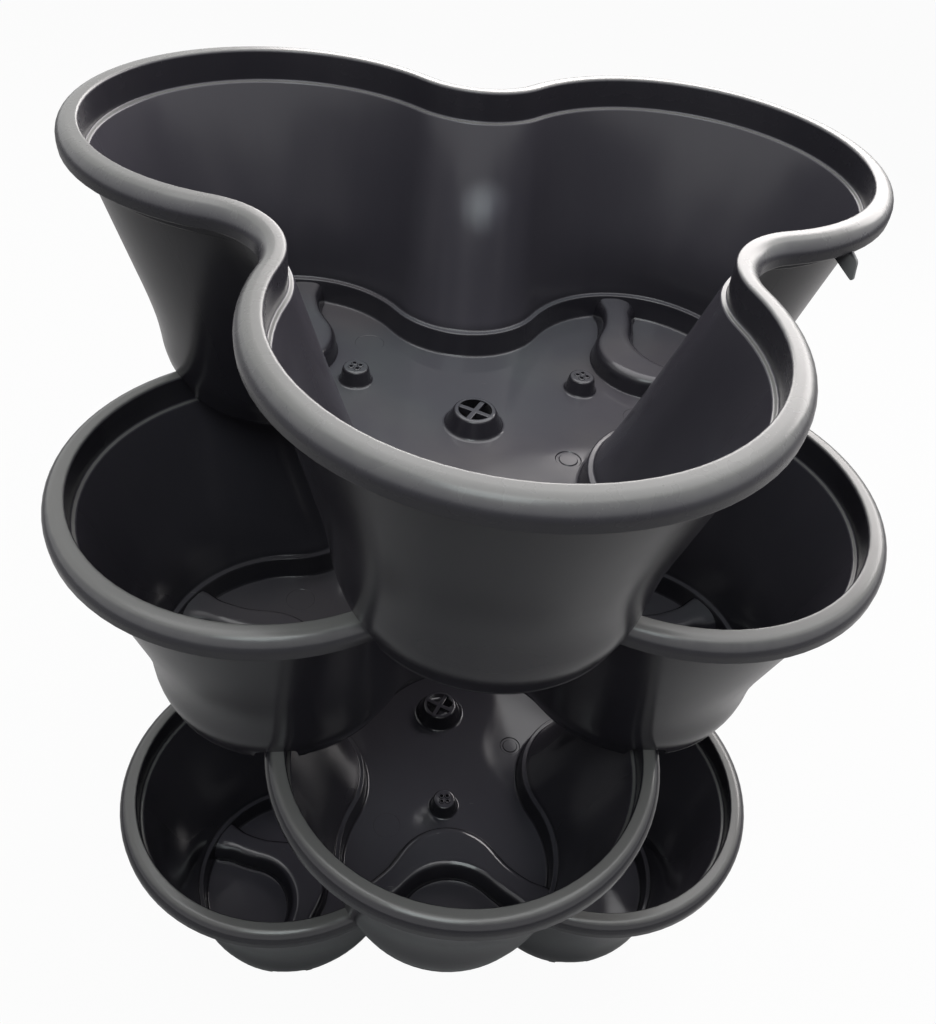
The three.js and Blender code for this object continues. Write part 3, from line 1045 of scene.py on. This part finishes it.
class TubFaces:
    """Masks that say where on the tubs a face lies."""

    def __init__(self, shader):
        self.place = shader.add("ShaderNodeTexCoord", output="Object")
        normal = shader.add("ShaderNodeNewGeometry", output="Normal")
        self.up = shader.add("ShaderNodeSeparateXYZ", values={"Vector": normal}, output="Z")
        self.above_ground = shader.add("ShaderNodeSeparateXYZ", values={"Vector": self.place}, output="Z")
        height = shader.add("ShaderNodeAttribute", {"attribute_name": "tub_height"}, output="Fac")
        self.level = self.up.band(LEVEL_FACES)
        self.in_base = 1 - height.band(BASE_HEIGHTS)
        self.at_floor = self.level * self.in_base
        self.at_step = self.level * height.band(STEP_HEIGHTS)
        self.at_rim = height.band(RIM_HEIGHTS)
        self.upper = self.above_ground.band(UPPER_HEIGHTS)
        # The lug, which gets painted light
        self.on_lug = shader.add("ShaderNodeAttribute", {"attribute_name": "lit_lug"}, output="Fac")


def plastic_material(look):
    """Satin charcoal plastic with rim wear and dust, and painted light and highlights on it."""
    material = bpy.data.materials.new(MATERIAL_SLOT)
    shader = Shader(material)
    faces = TubFaces(shader)
    cloud = shader.noise(faces.place, CLOUD)
    mottle = shader.noise(faces.place, MOTTLE)
    speck = shader.noise(faces.place, SPECK)
    haze = shader.noise(faces.place, HAZE)
    flow = shader.noise(shader.stretched(faces.place, FLOW_STRETCH), FLOW)
    streak = shader.noise(shader.stretched(faces.place, STREAK_STRETCH), STREAK)

    scratches = streak.band(SCRATCH_STREAKS) * mottle.band(SCRATCH_PATCHES) * faces.at_floor
    dusty = WALL_DUST_SHARE + (1 - WALL_DUST_SHARE) * faces.level
    dust = speck.band(DUST_SPECKS) * dusty * cloud.band(DUST_CLOUDS)
    # Wear plus painted highlight on the rims, paler where they look up; its fall-off on the lower tubs is
    # painted shade
    rubbed_and_highlit_share = RUBBED_AND_HIGHLIT_SHARE + RUBBED_PATCH_SHARE * mottle.band(RUBBED_PATCHES)
    rubbed_and_highlit = faces.at_rim * faces.up.band(RUBBED_AND_HIGHLIT_FACES) * faces.upper * rubbed_and_highlit_share
    # Painted shade: the lower tubs' rims kept dark
    shaded_low_rim = faces.at_rim * (1 - faces.upper) * SHADED_LOW_RIM_SHARE
    # Painted light on what looks up, most on the floors
    painted_light_wall = (1 - faces.in_base) * (1 - shaded_low_rim) * WALL_PAINTED_LIGHT_SHARE
    painted_light_share = faces.up.band(PAINTED_LIGHT_FACES) * (painted_light_wall + faces.at_floor * FLOOR_PAINTED_LIGHT_SHARE)
    filmed_floor = faces.at_floor * faces.above_ground.band(FILMED_HEIGHTS)
    filmed_share = filmed_floor * (FILM_SHARE + FILM_CLOUD_SHARE * cloud.band(FILM_CLOUDS))
    tone = FADED_SHARE + (cloud - NOISE_MIDDLE) * CLOUD_TONE_SHARE + (flow - NOISE_MIDDLE) * FLOW_TONE_SHARE
    # Pales the plastic with wear, dust, scratches and random tone, plus painted highlight on the rims and
    # the step
    fade_and_highlight = (
        rubbed_and_highlit
        # painted highlight on the step
        + faces.at_step * STEP_HIGHLIGHT_SHARE
        + dust * FADED_DUST_SHARE
        + scratches * FADED_SCRATCH_SHARE
        + tone
    ).clamped()

    # Plastic with painted light on what looks up
    painted_lit = shader.mix(painted_light_share, rgba(look.plastic), rgba(look.painted_light))
    film = shader.mix(haze.band(WARM_HAZE), rgba(look.film), rgba(look.warm_film))
    filmed = shader.mix(filmed_share, painted_lit, film)
    moulded = shader.mix(fade_and_highlight, filmed, rgba(look.faded_and_highlit))
    # Painted light: the lug pale
    finished = shader.mix(faces.on_lug, moulded, rgba(look.painted_light_lug))

    roughness = (
        look.wall_roughness
        + faces.at_floor * (look.floor_roughness - look.wall_roughness)
        + faces.at_rim * faces.upper * (look.rim_roughness - look.wall_roughness)
        - (1 - faces.upper) * LOW_POLISH
        + (mottle - NOISE_MIDDLE) * MOTTLE_ROUGHNESS
        + (cloud - NOISE_MIDDLE) * CLOUD_ROUGHNESS
        + dust * DUST_ROUGHNESS
    ).clamped()
    wave = shader.noise(faces.place, WAVE)
    peel = shader.noise(faces.place, PEEL)
    relief = wave * WAVE_HEIGHT + peel * PEEL_HEIGHT + flow * FLOW_HEIGHT - scratches * SCRATCH_DEPTH
    bump = shader.add("ShaderNodeBump", values={"Strength": 1.0, "Distance": 1.0, "Height": relief})
    surface = shader.add(
        "ShaderNodeBsdfPrincipled",
        values={"Base Color": finished, "Roughness": roughness, "IOR": PLASTIC_REFRACTION, "Normal": bump},
    )
    shader.add("ShaderNodeOutputMaterial", values={"Surface": surface})
    return material


def add_marks(mesh, base_height, lug_place, lug_size):
    """Keeps each point's height above its tub's base, and whether it is on the lug, which gets painted
    light.
    """
    heights = np.array([vertex.co.z - base_height for vertex in mesh.vertices], np.float32)
    lit_lug = np.array([(vertex.co - lug_place).length < lug_size for vertex in mesh.vertices], np.float32)
    for name, values in (("tub_height", heights), ("lit_lug", lit_lug)):
        attribute = mesh.attributes.new(name, "FLOAT", "POINT")
        attribute.data.foreach_set("value", values)


class PLANTER_OT_tubs(bpy.types.Operator):
    """Mould the tubs and stack them"""

    bl_idname = "planter.tubs"
    bl_label = "Mould the tubs"

    def execute(self, context):
        shape = context.scene.planter_shape
        details = context.scene.planter_floor
        plastic = plastic_material(context.scene.planter_plastic)
        pattern = mould_tub(shape, details)
        for index, node in enumerate(TUBS):
            name = f"{node}_moulding"
            tub = add_object(name, pattern.data.copy())
            if node == LUG_TUB:
                combine(tub, lug(shape, details), "UNION")
            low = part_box(node)[0].z
            turn = FIRST_TURN + TURN_PER_TUB * index
            tub.data.name = name
            placed = Matrix.Translation((0, 0, low)) @ about_axis(turn)
            tub.data.transform(placed)
            add_marks(tub.data, low, placed @ lug_middle(shape, details), details.lug_tip_drop)
            tub.data.materials.clear()
            tub.data.materials.append(plastic)
            finish_mesh(tub)
            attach(tub, node)
            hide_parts(node)
        bpy.data.objects.remove(pattern)
        return {"FINISHED"}


def stage_material(look):
    """A pale floor that shows as white to the camera and keeps the object's shadow."""
    material = bpy.data.materials.new("studio_floor")
    shader = Shader(material)
    grain = shader.noise(shader.add("ShaderNodeTexCoord", output="Object"), GRAIN)
    pale = shader.mix(grain, rgba(look.floor_colour), rgba(look.floor_grain))
    matte = shader.add("ShaderNodeBsdfDiffuse", values={"Color": pale})
    white = shader.add("ShaderNodeEmission", values={"Color": WHITE, "Strength": 1.0})
    seen = shader.rays("Is Camera Ray", "Is Transmission Ray")
    both = shader.mix_shaders(seen * look.floor_glow, matte, white)
    shader.add("ShaderNodeOutputMaterial", values={"Surface": both})
    return material


def set_world(look):
    """Soft light from all round, which shows as white to the camera and in reflections."""
    world = bpy.data.worlds.new("studio")
    bpy.context.scene.world = world
    shader = Shader(world)
    values = {"Color": rgba(look.sky_colour), "Strength": look.sky_strength}
    light = shader.add("ShaderNodeBackground", values=values)
    white = shader.add("ShaderNodeBackground", values={"Color": WHITE, "Strength": 1.0})
    seen = shader.rays("Is Camera Ray", "Is Glossy Ray", "Is Transmission Ray")
    both = shader.mix_shaders(seen, light, white)
    shader.add("ShaderNodeOutputWorld", values={"Surface": both})


def add_lamp(name, kind, place, aim, power, tint):
    """A lamp at a place, facing a point."""
    light = bpy.data.lights.new(name, kind)
    light.energy = power
    light.color = tint
    lamp = add_object(name, light)
    lamp.location = place
    lamp.rotation_euler = (Vector(aim) - Vector(place)).to_track_quat("-Z", "Y").to_euler()
    return light


def add_lamps(look):
    """Soft lamps overhead, behind and above the camera, and small ones for the sheen on the back waist."""
    aim = look.lamp_aim
    top = add_lamp("ceiling_lamp", "AREA", look.ceiling_place, aim, look.ceiling_power, look.ceiling_tint)
    top.size = look.ceiling_size
    back = add_lamp("back_lamp", "AREA", look.back_place, aim, look.back_power, look.back_tint)
    back.shape = "RECTANGLE"
    back.size = look.back_width
    back.size_y = look.back_height
    front = add_lamp("front_lamp", "AREA", look.front_place, aim, look.front_power, look.front_tint)
    front.size = look.front_size
    lit = look.accent_aim
    for index in range(look.accent_lamps):
        turn = look.accent_spread * (index - (look.accent_lamps - 1) / 2)
        place = lit + about_axis(turn) @ look.accent_offset
        accent = add_lamp(f"accent_lamp_{index}", "SPOT", place, lit, look.accent_power, look.accent_tint)
        accent.spot_size = look.accent_cone
        accent.spot_blend = 1.0
        accent.shadow_soft_size = look.accent_radius


def add_camera(look):
    yaw = look.camera_yaw
    pitch = look.camera_pitch
    forward = Vector((math.sin(yaw) * math.cos(pitch), math.cos(yaw) * math.cos(pitch), -math.sin(pitch)))
    level_right = Vector((math.cos(yaw), -math.sin(yaw), 0))
    level_up = level_right.cross(forward)
    roll = look.camera_roll
    right = level_right * math.cos(roll) + level_up * math.sin(roll)
    up = level_up * math.cos(roll) - level_right * math.sin(roll)
    data = bpy.data.cameras.new("camera")
    data.lens = look.camera_lens
    data.shift_x, data.shift_y = look.camera_shift
    camera = add_object("camera", data)
    facing = Matrix((right, up, -forward)).transposed().to_4x4()
    camera.matrix_world = Matrix.Translation(look.camera_place) @ facing
    bpy.context.scene.camera = camera


class PLANTER_OT_stage(bpy.types.Operator):
    """Set the camera, the lamps and a pale floor"""

    bl_idname = "planter.stage"
    bl_label = "Set the studio"

    def execute(self, context):
        look = context.scene.planter_studio
        half = look.floor_size / 2
        floor = mesh_object(
            "studio_floor",
            [(-half, -half, 0), (half, -half, 0), (half, half, 0), (-half, half, 0)],
            [(0, 1, 2, 3)],
        )
        floor.location.z = -look.floor_drop
        floor.data.materials.append(stage_material(look))
        set_world(look)
        add_lamps(look)
        add_camera(look)
        context.scene.view_settings.view_transform = "Standard"
        return {"FINISHED"}


class PLANTER_PT_panel(bpy.types.Panel):
    """Makes the planter tower and its studio"""

    bl_idname = "PLANTER_PT_panel"
    bl_label = "Planter tower"
    bl_space_type = "VIEW_3D"
    bl_region_type = "UI"
    bl_category = "Planter tower"

    def draw(self, context):
        for operator in OPERATORS:
            self.layout.operator(operator.bl_idname)


OPERATORS = (PLANTER_OT_stage, PLANTER_OT_tubs)
SETTINGS = {
    "planter_shape": TubShape,
    "planter_floor": FloorShape,
    "planter_plastic": PlasticLook,
    "planter_studio": StudioLook,
}
CLASSES = (*SETTINGS.values(), *OPERATORS, PLANTER_PT_panel)


def register():
    for made in CLASSES:
        bpy.utils.register_class(made)
    for name, group in SETTINGS.items():
        setattr(bpy.types.Scene, name, PointerProperty(type=group))


def unregister():
    for name in SETTINGS:
        delattr(bpy.types.Scene, name)
    for made in reversed(CLASSES):
        bpy.utils.unregister_class(made)


def main():
    register()
    bpy.ops.planter.stage()
    bpy.ops.planter.tubs()


if __name__ == "__main__":
    main()
